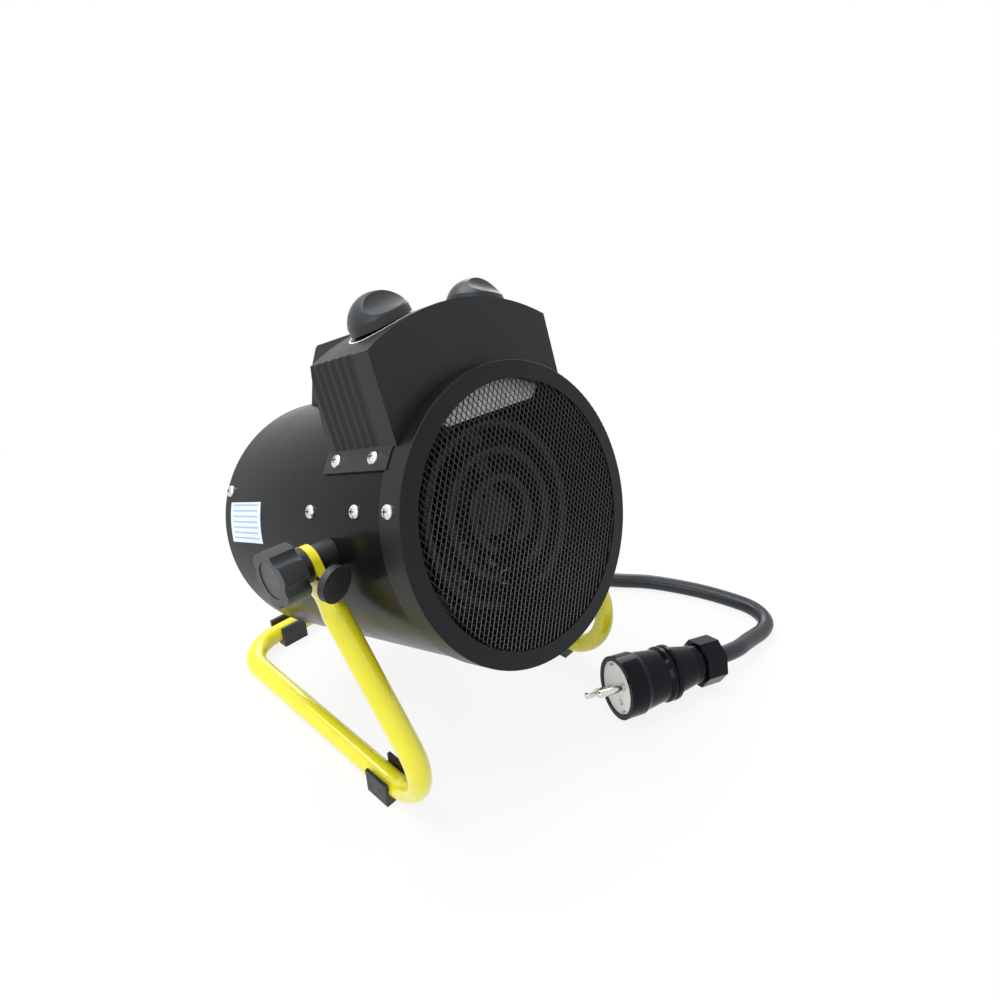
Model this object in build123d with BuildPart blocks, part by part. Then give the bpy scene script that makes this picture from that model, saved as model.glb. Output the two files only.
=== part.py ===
from build123d import *
import math
import os

# A portable forced air heater: a tilting drum with a fan and three ring elements inside,
# a control box and a carrying handle on top, and a bent tube stand that it swings in.
# Millimetres. +Z is up, the front faces -Y, the feet stand on Z = 0.

os.makedirs("parts", exist_ok=True)

# ---------------------------------------------------------------- driving sizes

tilt = 19.0                 # the drum's nose points this many degrees upwards

# drum and front
drum_radius = 79.0
sheet = 1.0
drum_length = 190.0
ring_plate = 1.0
ring_radius = drum_radius + ring_plate
ring_border = 8.5           # how far the ring's face reaches in from the drum's outside
ring_opening = drum_radius - ring_border
ring_skirt = 16.0
ring_round = 0.6
net_thickness = 0.8
net_rows = 14
slip = 0.05                 # gap between parts that slide into each other
shell_clearance = 6.5       # from the drum's outside in to the bright inner shell's
inner_radius = drum_radius - shell_clearance
inner_sheet = 0.6
inner_length = 100.0
lip_thickness = 0.6

# stand
tube_radius = 6.5
tube_wall = 1.2
base_half = 80.0            # half the base width at the front corners
bar_half = 78.0             # half the base width at the rear corners
pivot_clearance = 11.5      # from the drum's outside to the middle of a flattened end
pivot_half = drum_radius + pivot_clearance
pivot_back = 81.6           # from the front corner back to the pivot
pivot_rise = 139.0          # from the floor rail's centre line up to the pivot
base_length = 223.8
hairpin_radius = 32.0
corner_radius = 26.0
eye_radius = 9.4
eye_thickness = 4.2
eye_neck = 27.0             # where the round tube starts to flatten
eye_flat = 12.0             # where the flattening ends
clip_wall = 2.0
clip_length = 18.0
clip_height = 16.0
rail_clip_back = 57.0       # from the front corner back to the clip's middle
bar_clip_side = 42.5        # from the middle out to the clip's middle

# pivot
pivot_depth = 64.2          # behind the drum's nose
pivot_lift = 8.7            # above the drum's axis
bolt_radius = 4.0
bolt_fit = 0.08
bolt_head = 2.2
bolt_head_radius = 7.0
bolt_past = 13.5            # how far the bolt reaches past the middle of the flattened end
bolt_reach = pivot_half + bolt_past
spacer_radius = 8.0
insert_radius = 6.0
knob_radius = 14.5
knob_dent = 5.0
knob_length = 12.0
collar_radius = 9.0
collar_length = 5.0
knob_cap_radius = 9.3
knob_cap_depth = 1.5
seat_gap = 0.3              # between faces that turn on each other
backing_size = 22.0         # the square plate inside the drum under each pivot

# control box
box_front = 11.1
box_half = 58.7
box_wall = 2.0
crown_radius = 118.6
box_rise = 34.4             # from the drum's top up to the crown's
crown_top = drum_radius + box_rise
box_back = 62.7             # depth of the box at shoulder height
shoulder = drum_radius + 19.0
back_lean = 11.6
case_gap = 0.05
flute_start = 23.5
flute_pitch = 6.7
flute_depth = 1.1
flute_count = 6
tab_front = 13.9
tab_length = 56.5
tab_thickness = 1.5
tab_overlap = 2.0           # degrees that a tab runs on behind the side wall
tab_width = 9.0             # degrees
wiring_hole_length = 60.0
wiring_hole_width = 20.0
wiring_hole_round = 4.0

# control knobs
knob_spread = 15.15         # degrees from the top to each knob
knob_place = 34.0
dial_radius = 15.8
dial_skirt = 4.0
dial_height = 15.5
dial_scoop = 13.0
grip_half = 4.5
spindle_radius = 3.0
spindle_fit = 0.05
spindle_up = 9.0
switch_size = 26.0
switch_height = 18.0
thermostat_radius = 14.0
thermostat_height = 13.0
terminal_width = 24.0
terminal_depth = 14.0
terminal_height = 12.0

# handle
handle_half = 10.0
handle_drop = 0.9           # the handle's top lies this far under the crown's
handle_top = crown_top - handle_drop
handle_bar = 11.5
handle_bend = 136.0
handle_foot = 164.0
handle_foot_width = 16.0
foot_screw_length = 5.0

# screws
screw_head = 3.6
screw_rise = 2.2
screw_shank = 1.6
screw_length = 5.2
screw_hole = 1.7
side_angle = 21.5
side_depths = (8.8, 37.7, 80.1)
rear_angle = 30.5
rear_depth = 183.7
tab_depths = (26.6, 59.2)

# heating elements
element_tube = 3.5
element_radii = (20.0, 35.0, 50.0)
element_depth = 24.0
element_tails = (8.0, 12.0, 16.0)
tail_end = 66.0
pin_radius = 1.5
pin_length = 8.0
plate_depth = 56.0
plate_thickness = 1.5
spider_thickness = 1.5
spider_half = 4.0
plate_inset = 22.0          # how much narrower the element plate is than the shell, each side
bracket_width = 10.0
bracket_height = 12.0

# fan
fan_radius = 62.0
fan_middle = 116.0
fan_blades = 5
blade_pitch = 35.0
blade_width = 24.0
blade_thickness = 1.5
hub_radius = 10.0
hub_length = 14.0
shaft_radius = 2.5
shaft_fit = 0.05
motor_setback = 18.0        # from the fan's middle back to the stator
stator_length = 18.0
stator_front = fan_middle + motor_setback
stator_back = stator_front + stator_length
shaft_lead = 13.0           # in front of the fan's middle
shaft_tail = 14.0           # behind the stator
shaft_front = fan_middle - shaft_lead
shaft_back = stator_back + shaft_tail
stator_half = 30.0
stator_top = 30.0
stator_bottom = -44.0
rotor_radius = 15.0
air_gap = 0.3
leg_half = 8.0
coil_half = 15.7
coil_over = 8.0
coil_top = -18.3
coil_height = 24.0
core_height = 10.0          # of the stator's leg inside the coil
coil_drop = 39.0            # from the shaft down to the coil's middle
stud_side = 25.0
stud_heights = (22.0, -12.0)
stud_radius = 2.0
grille_depth = 186.0
grille_thickness = 1.0
grille_skirt = 10.0

# label
label_front = 139.5
label_length = 41.0
label_low = 8.0
label_high = 25.4
label_thickness = 0.3

# rubber buffer on the front of the left arm
buffer_radius = 9.2
buffer_thickness = 3.6
buffer_down = 12.9          # from the pivot, down the arm
buffer_front = 15.0         # in front of the arm's middle
buffer_side = 89.8
buffer_stem = 1.3
buffer_facing = Vector(0.244, -0.968, -0.052)

# cable, strain relief and plug
cord_radius = 6.0
sleeve_side = 38.0          # where the cable leaves the box
sleeve_rise = 7.0           # above the drum's top
sleeve_length = 24.0
sleeve_root = 9.0
sleeve_tip = 7.4
sleeve_inside = 6.0
sleeve_flange = 11.0
first_run = 50.0
coil_side = 55.0            # where the cable comes down to the floor
landing_angle = 27.0
landing_radius = 60.0
last_run = 60.0
coil_radii = (62.0, 74.0, 80.4)
plug_face = Vector(-30.0, -9.9, 21.25)   # from the stand's right front corner
plug_turn = -25.0           # the plug's back points this way round from +X
plug_roll = 42.0            # the plug lies rolled this far about its own length
plug_dip = 3.43             # it rests on its wide front and its nut, so its back lies lower
plug_profile = (
    (0, 20.5),
    (13, 20.5),
    (16, 19.3),
    (32, 17.2),
    (34, 18.6),
    (36.5, 18.6),
    (37.5, 17.4),
    (38.5, 18.6),
    (41, 18.6),
    (43, 16.2),
    (58, 13.5),
    (64, 13.5),
)
plug_nut = 16.0
plug_nut_radius = 16.5
insert_face_radius = 17.4
insert_depth = 14.0
insert_recess = 1.0
pin_diameter = 4.8
pin_spacing = 19.0
pin_reach = 19.0
pin_root = 2.0              # radius of the pin inside the insert
pin_tip = 1.5
earth_radius = 2.4

# ---------------------------------------------------------------- places

sine = math.sin(math.radians(tilt))
cosine = math.cos(math.radians(tilt))
right = Vector(1, 0, 0)
back = Vector(0, cosine, -sine)
up = Vector(0, sine, cosine)

rail_height = tube_radius + clip_wall
nose_back = pivot_back - pivot_depth * cosine - pivot_lift * sine
front_reach = nose_back + ring_round * cosine - (ring_radius - ring_round) * sine - ring_round
rear_reach = base_length + tube_radius + clip_wall
corner_y = -(front_reach + rear_reach) / 2
bar_y = corner_y + base_length
pivot_y = corner_y + pivot_back
pivot_z = rail_height + pivot_rise
nose = Vector(0, pivot_y, pivot_z) - back * pivot_depth - up * pivot_lift
drum_axis = Axis(nose, back)
handle_foot_middle = handle_foot - handle_foot_width / 2
crown_centre = crown_top - crown_radius
sleeve_height = drum_radius + sleeve_rise
tab_high = math.degrees(math.acos(box_half / drum_radius)) + tab_overlap
tab_low = tab_high - tab_width
tab_angle = (tab_low + tab_high) / 2


def spot(x, depth, height):
    """A point given across, along and above the drum's axis."""
    return nose + right * x + back * depth + up * height


def across(depth, x=0, height=0):
    """The plane square to the drum's axis: x to the right, y up, facing forward."""
    return Plane(origin=spot(x, depth, height), x_dir=right, z_dir=back * -1)


def along(x):
    """The plane beside the drum's axis: x is depth and y is height, facing right."""
    return Plane(origin=spot(x, 0, 0), x_dir=back, z_dir=right)


def level(height):
    """The plane above the drum's axis: x to the right, y backward, facing up."""
    return Plane(origin=spot(0, 0, height), x_dir=right, z_dir=up)


def outward(depth, angle, reach):
    """A plane facing away from the drum's axis, at an angle from the right-hand side."""
    direction = right * math.cos(math.radians(angle)) + up * math.sin(math.radians(angle))
    return Plane(origin=nose + back * depth + direction * reach, x_dir=back, z_dir=direction)


def both(angle):
    """The same angle on the right and on the left."""
    return (angle, 180 - angle)


def turned(*points):
    """A solid of revolution about the drum's axis, from (depth, radius) points."""
    with BuildSketch(along(0)) as profile:
        with BuildLine():
            Polyline(*points, close=True)
        make_face()
    return revolve(profile.sketch, axis=drum_axis)


def hoop(front, rear, outer, inner, mode=Mode.ADD):
    """A round tube about the drum's axis."""
    with BuildSketch(across(front)) as section:
        Circle(outer)
        Circle(inner, mode=Mode.SUBTRACT)
    return extrude(section.sketch, amount=front - rear, mode=mode)


def disc(plane, radius, amount, mode=Mode.ADD):
    """A round bar that stands on a plane."""
    with BuildSketch(plane) as section:
        Circle(radius)
    return extrude(section.sketch, amount=amount, mode=mode)


def slab(plane, width, height, amount, mode=Mode.ADD, rise=0):
    """A rectangular block that stands on a plane."""
    with BuildSketch(plane) as section:
        with Locations((0, rise)):
            Rectangle(width, height)
    return extrude(section.sketch, amount=amount, mode=mode)


def drill(plane, radius, reach=12.0):
    """A round hole through whatever lies near a plane."""
    with BuildSketch(plane) as section:
        Circle(radius)
    return extrude(section.sketch, amount=reach, both=True, mode=Mode.SUBTRACT)


def save(piece, name):
    """Label a finished piece and write its file."""
    piece.part.label = name
    export_step(piece.part, f"parts/{name}.step")


# ---------------------------------------------------------------- drum

with BuildPart() as drum_shell:
    hoop(ring_plate, drum_length, drum_radius, drum_radius - sheet)
    for angle in both(side_angle):
        for depth in side_depths:
            drill(outward(depth, angle, drum_radius), screw_hole, 4)
    for angle in both(rear_angle):
        drill(outward(rear_depth, angle, drum_radius), screw_hole, 4)
    for angle in both(tab_angle):
        for depth in tab_depths:
            drill(outward(depth, angle, drum_radius), screw_hole, 4)
    with BuildSketch(along(0)) as pivot_holes:
        with Locations((pivot_depth, pivot_lift)):
            Circle(bolt_radius + slip)
    extrude(amount=drum_radius + 1, both=True, mode=Mode.SUBTRACT)
    with BuildSketch(level(drum_radius - 10)) as wiring_hole:
        with Locations((0, knob_place - 5)):
            RectangleRounded(wiring_hole_length, wiring_hole_width, wiring_hole_round)
    extrude(amount=20, mode=Mode.SUBTRACT)
    drill(outward(handle_foot_middle, 90, drum_radius), screw_hole, 4)
save(drum_shell, "drum_shell")

with BuildPart() as front_ring:
    turned(
        (0, ring_opening),
        (0, ring_radius),
        (ring_skirt, ring_radius),
        (ring_skirt, drum_radius + slip),
        (ring_plate, drum_radius + slip),
        (ring_plate, ring_opening),
    )
    fillet(front_ring.edges().sort_by(drum_axis)[:2].sort_by(SortBy.LENGTH)[-1], ring_round)
    for angle in both(side_angle):
        drill(outward(side_depths[0], angle, drum_radius), screw_hole, 4)
save(front_ring, "front_ring")

net_radius = drum_radius - sheet - 0.2
net_pitch = 2 * ring_opening / net_rows
net_reach = ring_opening - net_pitch * 0.8
net_cells = [
    (column * net_pitch / 2, row * net_pitch * 0.65)
    for column in range(-net_rows, net_rows + 1)
    for row in range(-net_rows, net_rows + 1)
    if (column + row) % 2 == 0
    and math.hypot(column * net_pitch / 2, row * net_pitch * 0.65) < net_reach
]
with BuildPart() as front_net:
    with BuildSketch(across(ring_plate)):
        Circle(net_radius)
        with Locations(*net_cells):
            Polygon(
                (-net_pitch * 0.4, 0),
                (0, -net_pitch * 0.52),
                (net_pitch * 0.4, 0),
                (0, net_pitch * 0.52),
                mode=Mode.SUBTRACT,
            )
    extrude(amount=-net_thickness)
save(front_net, "front_net")

lip_depth = ring_plate + net_thickness
with BuildPart() as inner_shell:
    turned(
        (lip_depth, inner_radius - inner_sheet),
        (lip_depth, net_radius),
        (lip_depth + lip_thickness, net_radius),
        (lip_depth + lip_thickness, inner_radius),
        (inner_length, inner_radius),
        (inner_length, inner_radius - inner_sheet),
    )
save(inner_shell, "inner_shell")

with BuildPart() as shell_brackets:
    for angle in both(side_angle):
        for depth in side_depths[1:]:
            slab(outward(depth, angle, inner_radius - 2), bracket_width, bracket_height, drum_radius)
    hoop(0, drum_length, drum_radius * 2.5, drum_radius - sheet - slip, mode=Mode.SUBTRACT)
    hoop(0, drum_length, inner_radius + slip, 0.01, mode=Mode.SUBTRACT)
    for angle in both(side_angle):
        for depth in side_depths[1:]:
            drill(outward(depth, angle, drum_radius), screw_shank + slip)
save(shell_brackets, "shell_brackets")


def sector(front, rear, outer, inner, start, stop, mode=Mode.ADD):
    """Part of a round tube about the drum's axis, between two angles from the right."""
    direction = right * math.cos(math.radians(stop)) + up * math.sin(math.radians(stop))
    with BuildSketch(Plane(origin=nose, x_dir=back, z_dir=back.cross(direction))) as profile:
        with BuildLine():
            Polyline((front, inner), (rear, inner), (rear, outer), (front, outer), close=True)
        make_face()
    return revolve(profile.sketch, axis=drum_axis, revolution_arc=stop - start, mode=mode)


with BuildPart() as rating_label:
    sector(
        label_front,
        label_front + label_length,
        drum_radius + slip + label_thickness,
        drum_radius + slip,
        180 - label_high,
        180 - label_low,
    )
save(rating_label, "rating_label")

with BuildPart() as rear_grille:
    hoop(grille_depth - grille_skirt, grille_depth + grille_thickness, net_radius, net_radius - sheet)
    with BuildSketch(across(grille_depth)):
        Circle(net_radius)
        with PolarLocations(net_radius * 0.71, 24):
            SlotOverall(net_radius * 0.4, 5, mode=Mode.SUBTRACT)
        with PolarLocations(net_radius * 0.2, 12):
            SlotOverall(net_radius * 0.14, 3, mode=Mode.SUBTRACT)
        with Locations(*[(side * stud_side, height) for side in (-1, 1) for height in stud_heights]):
            Circle(stud_radius + slip, mode=Mode.SUBTRACT)
    extrude(amount=-grille_thickness)
    for angle in both(rear_angle):
        drill(outward(rear_depth, angle, net_radius), screw_shank + slip, 3)
save(rear_grille, "rear_grille")

# ---------------------------------------------------------------- control box

lean_out = back * math.cos(math.radians(back_lean)) + up * math.sin(math.radians(back_lean))


def box_depth(height):
    """How deep the box is at a height over the drum's axis."""
    return box_back - (height - shoulder) * math.tan(math.radians(back_lean))


def box_rear(x=0, height=shoulder, outside=0):
    """The plane of the box's leaning back, at a place on it."""
    return Plane(origin=spot(x, box_depth(height), height) + lean_out * outside, x_dir=right, z_dir=lean_out)


def box_block(inset, front, rear, mode=Mode.ADD):
    """The box's outline, drawn in by an inset, from a depth back to the leaning back."""
    half = box_half - inset
    radius = crown_radius - inset
    side_top = crown_centre + math.sqrt(radius**2 - half**2)
    with BuildSketch(across(front)) as section:
        with BuildLine():
            Polyline((-half, side_top), (-half, drum_radius / 2), (half, drum_radius / 2), (half, side_top))
            ThreePointArc((half, side_top), (0, crown_centre + radius), (-half, side_top))
        make_face()
    block = extrude(section.sketch, amount=-drum_length / 2, mode=Mode.PRIVATE)
    return add(split(block, bisect_by=box_rear(outside=rear), keep=Keep.BOTTOM, mode=Mode.PRIVATE), mode=mode)


def crown(side, reach=0):
    """The plane under a control knob, on the box's curved top."""
    lean = math.radians(side * knob_spread)
    direction = right * math.sin(lean) + up * math.cos(lean)
    origin = spot(0, knob_place, crown_centre) + direction * (crown_radius + reach)
    return Plane(origin=origin, x_dir=back, z_dir=direction)


with BuildPart() as control_housing:
    box_block(0, box_front, 0)
    box_block(box_wall, box_front + box_wall, box_wall, mode=Mode.SUBTRACT)
    for side in (-1, 1):
        for flute in range(flute_count):
            bow = (flute_pitch**2 / 4 + flute_depth**2) / (2 * flute_depth)
            middle = flute_start + flute_pitch * (flute + 0.5)
            groove = Plane(
                origin=spot(side * (box_half - flute_depth + bow), middle, 0), x_dir=right, z_dir=up
            )
            disc(groove, bow, crown_radius, mode=Mode.SUBTRACT)
        disc(crown(side, -2 * box_wall), spindle_radius + 1, 4 * box_wall, mode=Mode.SUBTRACT)
    for angle in both(tab_angle):
        sector(
            tab_front,
            tab_front + tab_length,
            drum_radius + slip + tab_thickness,
            drum_radius + slip,
            angle - tab_width / 2,
            angle + tab_width / 2,
        )
    disc(across(-1), drum_radius + slip, -drum_length, mode=Mode.SUBTRACT)
    disc(across(-1), ring_radius + slip, -1 - ring_skirt - slip, mode=Mode.SUBTRACT)
    for angle in both(tab_angle):
        for depth in tab_depths:
            drill(outward(depth, angle, drum_radius), screw_hole, 4)
save(control_housing, "control_housing")

handle_screw_height = handle_top - handle_bar / 2
handle_screw_side = handle_half / 2
with BuildPart() as back_cover:
    box_block(box_wall + case_gap, box_front + 3 * box_wall, 0)
    box_block(0, box_front, -box_wall, mode=Mode.SUBTRACT)
    disc(across(-1), drum_radius + slip, -drum_length, mode=Mode.SUBTRACT)
    disc(box_rear(sleeve_side, sleeve_height, -10), sleeve_root + slip, 20, mode=Mode.SUBTRACT)
    for side in (-1, 1):
        disc(box_rear(side * handle_screw_side, handle_screw_height, -10), screw_hole, 20, mode=Mode.SUBTRACT)
save(back_cover, "back_cover")

with BuildPart() as carry_handle:
    with BuildSketch(along(-handle_half)):
        with BuildLine():
            FilletPolyline(
                (box_back - 2 * handle_bar, handle_top),
                (handle_bend, handle_top),
                (handle_bend + 11, handle_top - 9.5),
                (handle_foot, drum_radius),
                (handle_foot + 6.5, drum_radius - 9),
                radius=[8, 8, 20],
            )
            FilletPolyline(
                (handle_foot - 9.5, drum_radius - 9),
                (handle_foot - handle_foot_width, drum_radius),
                (handle_bend + 1, handle_top - 17.5),
                (handle_bend - 8, handle_top - handle_bar),
                (box_back - 2 * handle_bar, handle_top - handle_bar),
                radius=[20, 5, 5],
            )
            Line((box_back - 2 * handle_bar, handle_top - handle_bar), (box_back - 2 * handle_bar, handle_top))
            Line((handle_foot + 6.5, drum_radius - 9), (handle_foot - 9.5, drum_radius - 9))
        make_face()
    extrude(amount=2 * handle_half)
    split(bisect_by=box_rear(), keep=Keep.TOP)
    disc(across(-1), drum_radius + slip, -2 * drum_length, mode=Mode.SUBTRACT)
    for side in (-1, 1):
        disc(box_rear(side * handle_screw_side, handle_screw_height, -1), screw_shank, 11, mode=Mode.SUBTRACT)
    foot_hole = outward(handle_foot_middle, 90, drum_radius - 1)
    disc(foot_hole, screw_shank, foot_screw_length + 1, mode=Mode.SUBTRACT)
save(carry_handle, "carry_handle")


def pan_screw(seat, length=screw_length):
    """A pan-head screw whose head stands on a plane and whose shank goes down into it."""
    disc(seat, screw_head, screw_rise)
    disc(seat, screw_shank, -length)


with BuildPart() as handle_screws:
    for side in (-1, 1):
        pan_screw(box_rear(side * handle_screw_side, handle_screw_height, -box_wall).rotated((180, 0, 0)), 11)
    foot_screw = outward(handle_foot_middle, 90, drum_radius - sheet - 0.1).rotated((180, 0, 0))
    pan_screw(foot_screw, foot_screw_length)
save(handle_screws, "handle_screws")

with BuildPart() as case_screws:
    for angle in both(side_angle):
        pan_screw(outward(side_depths[0], angle, ring_radius))
        for depth in side_depths[1:]:
            pan_screw(outward(depth, angle, drum_radius))
    for angle in both(rear_angle):
        pan_screw(outward(rear_depth, angle, drum_radius), 4)
    for angle in both(tab_angle):
        for depth in tab_depths:
            pan_screw(outward(depth, angle, drum_radius + slip + tab_thickness))
save(case_screws, "case_screws")

# ---------------------------------------------------------------- controls

under_crown = crown_radius - box_wall
switch_reach = max(switch_size / 2, thermostat_radius)
switch_sag = under_crown - math.sqrt(under_crown**2 - switch_reach**2) + slip
with BuildPart() as selector_switch:
    slab(crown(-1, -box_wall - switch_sag), switch_size, switch_size, -switch_height)
    disc(crown(-1, -box_wall - switch_sag - 6), spindle_radius + spindle_fit, 8, mode=Mode.SUBTRACT)
save(selector_switch, "selector_switch")

with BuildPart() as thermostat_body:
    disc(crown(1, -box_wall - switch_sag), thermostat_radius, -thermostat_height)
    disc(crown(1, -box_wall - switch_sag - 6), spindle_radius + spindle_fit, 8, mode=Mode.SUBTRACT)
save(thermostat_body, "thermostat_body")

dome_height = dial_height - dial_skirt
dome_radius = (dial_radius**2 + dome_height**2) / (2 * dome_height)
dome_middle = dial_height - dome_radius
for side, knob_name, spindle_name in (
    (-1, "selector_knob", "selector_spindle"),
    (1, "thermostat_knob", "thermostat_spindle"),
):
    with BuildPart() as control_knob:
        seat = crown(side, seat_gap)
        upright = Plane(origin=seat.origin, x_dir=seat.x_dir, z_dir=seat.y_dir * -1)
        with BuildSketch(upright):
            with BuildLine():
                Polyline(
                    (0, dial_height),
                    (0, spindle_up),
                    (spindle_radius, spindle_up),
                    (spindle_radius, 0),
                    (dial_radius, 0),
                    (dial_radius, dial_skirt),
                )
                ThreePointArc(
                    (dial_radius, dial_skirt),
                    (dial_radius / 2, dome_middle + math.sqrt(dome_radius**2 - dial_radius**2 / 4)),
                    (0, dial_height),
                )
            make_face()
        revolve(axis=Axis(seat.origin, seat.z_dir))
        with BuildSketch(upright.offset(-dial_radius - 1)):
            with Locations(*[(flank * (grip_half + dial_scoop), dial_skirt + dial_scoop + 0.6) for flank in (-1, 1)]):
                Circle(dial_scoop)
        extrude(amount=2 * dial_radius + 2, mode=Mode.SUBTRACT)
    save(control_knob, knob_name)
    with BuildPart() as spindle:
        foot = -box_wall - switch_sag - 5.5
        disc(crown(side, foot), spindle_radius, seat_gap + spindle_up - foot)
    save(spindle, spindle_name)

terminal_low = drum_radius + slip
with BuildPart() as terminal_block:
    with BuildSketch(level(terminal_low)):
        with Locations((0, knob_place + 5)):
            Rectangle(terminal_width, terminal_depth)
    extrude(amount=terminal_height)
save(terminal_block, "terminal_block")

with BuildPart() as thermal_cutout:
    disc(outward(inner_length - 14, 90, inner_radius + slip), 7, 3.5)
save(thermal_cutout, "thermal_cutout")

# ---------------------------------------------------------------- heating elements

elbow = 6.0


def ring_element(radius, tail):
    """One tubular ring with its two ends turned back towards the fan."""
    turn = math.asin(tail / math.hypot(radius, elbow)) + math.atan(elbow / radius)
    half = math.sqrt(0.5)
    tail_height = -radius * math.cos(turn) - elbow * math.sin(turn)

    def bend(side, along_turn, deep):
        x = radius * math.sin(turn) - along_turn * math.cos(turn)
        height = -radius * math.cos(turn) - along_turn * math.sin(turn)
        return spot(side * x, element_depth + deep, height)

    with BuildPart() as element:
        with BuildLine() as path:
            Line(spot(tail, tail_end, tail_height), bend(1, elbow, elbow))
            ThreePointArc(bend(1, elbow, elbow), bend(1, elbow * half, elbow * (1 - half)), bend(1, 0, 0))
            ThreePointArc(bend(1, 0, 0), spot(0, element_depth, radius), bend(-1, 0, 0))
            ThreePointArc(bend(-1, 0, 0), bend(-1, elbow * half, elbow * (1 - half)), bend(-1, elbow, elbow))
            Line(bend(-1, elbow, elbow), spot(-tail, tail_end, tail_height))
        with BuildSketch(Plane(origin=path.line @ 0, z_dir=path.line % 0)):
            Circle(element_tube)
        sweep(path=path.line)
        for side in (-1, 1):
            disc(across(tail_end, side * tail, tail_height), pin_radius, -pin_length)
    return element, tail_height


element_ends = []
for radius, tail, name in zip(element_radii, element_tails, ("inner", "middle", "outer")):
    ring, tail_height = ring_element(radius, tail)
    element_ends += [(side * tail, tail_height) for side in (-1, 1)]
    save(ring, f"element_{name}")

bush_radius = element_tube + 1.1
with BuildPart() as element_bushes:
    with BuildSketch(across(plate_depth - 2)):
        with Locations(*element_ends):
            Circle(bush_radius)
            Circle(element_tube + slip, mode=Mode.SUBTRACT)
    extrude(amount=-plate_thickness - 4)
save(element_bushes, "element_bushes")

shell_bore = inner_radius - inner_sheet - slip
with BuildPart() as element_plate:
    with BuildSketch(across(plate_depth)):
        Circle(shell_bore)
        with Locations((0, shell_bore / 2)):
            Rectangle(4 * shell_bore, shell_bore * 1.3, mode=Mode.SUBTRACT)
        for side in (-1, 1):
            with Locations((side * (shell_bore + plate_inset), 0)):
                Rectangle(2 * shell_bore, 4 * shell_bore, mode=Mode.SUBTRACT)
        with Locations(*element_ends):
            Circle(bush_radius + slip, mode=Mode.SUBTRACT)
    extrude(amount=-plate_thickness)
save(element_plate, "element_plate")

with BuildPart() as element_spider:
    with BuildSketch(across(element_depth + element_tube + slip)):
        Circle(12)
        for angle in (90, 210, 330):
            with Locations(Rotation(0, 0, angle)):
                with Locations((shell_bore / 2, 0)):
                    Rectangle(shell_bore, 2 * spider_half)
        with BuildSketch(mode=Mode.INTERSECT):
            Circle(shell_bore)
    extrude(amount=-spider_thickness)
save(element_spider, "element_spider")

# ---------------------------------------------------------------- motor and fan

stud_spots = [(side * stud_side, height) for side in (-1, 1) for height in stud_heights]
frame_thickness = 3.0
front_frame_depth = stator_front - 6
rear_frame_depth = stator_back + 4
coil_front = stator_front - coil_over
coil_back = stator_back + coil_over


def stud_row(front, rear, outer, inner=0):
    """Bars or tubes on the four motor studs."""
    with BuildSketch(across(front)) as section:
        with Locations(*stud_spots):
            Circle(outer)
            if inner:
                Circle(inner, mode=Mode.SUBTRACT)
    extrude(section.sketch, amount=front - rear)


with BuildPart() as motor_stator:
    with BuildSketch(across(stator_front)):
        with Locations((0, (stator_top + stator_bottom) / 2)):
            Rectangle(2 * stator_half, stator_top - stator_bottom)
        Circle(rotor_radius + air_gap, mode=Mode.SUBTRACT)
        window_low = core_height / 2 - coil_drop
        with Locations((0, (coil_top + window_low) / 2)):
            Rectangle(2 * (stator_half - core_height), coil_top - window_low, mode=Mode.SUBTRACT)
        with Locations(*stud_spots):
            Circle(stud_radius + slip, mode=Mode.SUBTRACT)
    extrude(amount=stator_front - stator_back)
save(motor_stator, "motor_stator")

with BuildPart() as motor_coil:
    leg_hole = core_height + 2 * slip
    slab(across(coil_front), 2 * coil_half, coil_height, coil_front - coil_back, rise=-coil_drop)
    slab(across(coil_front), 2 * coil_half + 2, leg_hole, coil_front - coil_back, rise=-coil_drop)
    slab(
        across(coil_front + coil_over - slip),
        2 * stator_half,
        leg_hole,
        stator_front - stator_back - 2 * slip,
        mode=Mode.SUBTRACT,
        rise=-coil_drop,
    )
save(motor_coil, "motor_coil")

bearing_radius = 7.0
for frame_depth, name in ((front_frame_depth, "motor_front_frame"), (rear_frame_depth, "motor_rear_frame")):
    with BuildPart() as motor_frame:
        with BuildSketch(across(frame_depth)):
            with Locations((0, (stud_heights[0] + stud_heights[1]) / 2)):
                RectangleRounded(2 * stud_side + 10, stud_heights[0] - stud_heights[1] + 10, 4)
            Circle(bearing_radius + slip, mode=Mode.SUBTRACT)
            with Locations(*stud_spots):
                Circle(stud_radius + slip, mode=Mode.SUBTRACT)
        extrude(amount=-frame_thickness)
    save(motor_frame, name)

with BuildPart() as motor_bearings:
    for frame_depth in (front_frame_depth, rear_frame_depth):
        hoop(frame_depth, frame_depth + frame_thickness + 1, bearing_radius, shaft_radius + shaft_fit)
save(motor_bearings, "motor_bearings")

with BuildPart() as motor_studs:
    stud_row(front_frame_depth - 1.8, front_frame_depth, 3.2)
    stud_row(front_frame_depth, grille_depth + grille_thickness + 2.8, stud_radius)
    stud_row(grille_depth + grille_thickness, grille_depth + grille_thickness + 1.8, 3.2)
save(motor_studs, "motor_studs")

with BuildPart() as motor_spacers:
    for front, rear in (
        (front_frame_depth + frame_thickness, stator_front),
        (stator_back, rear_frame_depth),
        (rear_frame_depth + frame_thickness, grille_depth),
    ):
        stud_row(front, rear, 3.5, stud_radius + slip)
save(motor_spacers, "motor_spacers")

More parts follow.
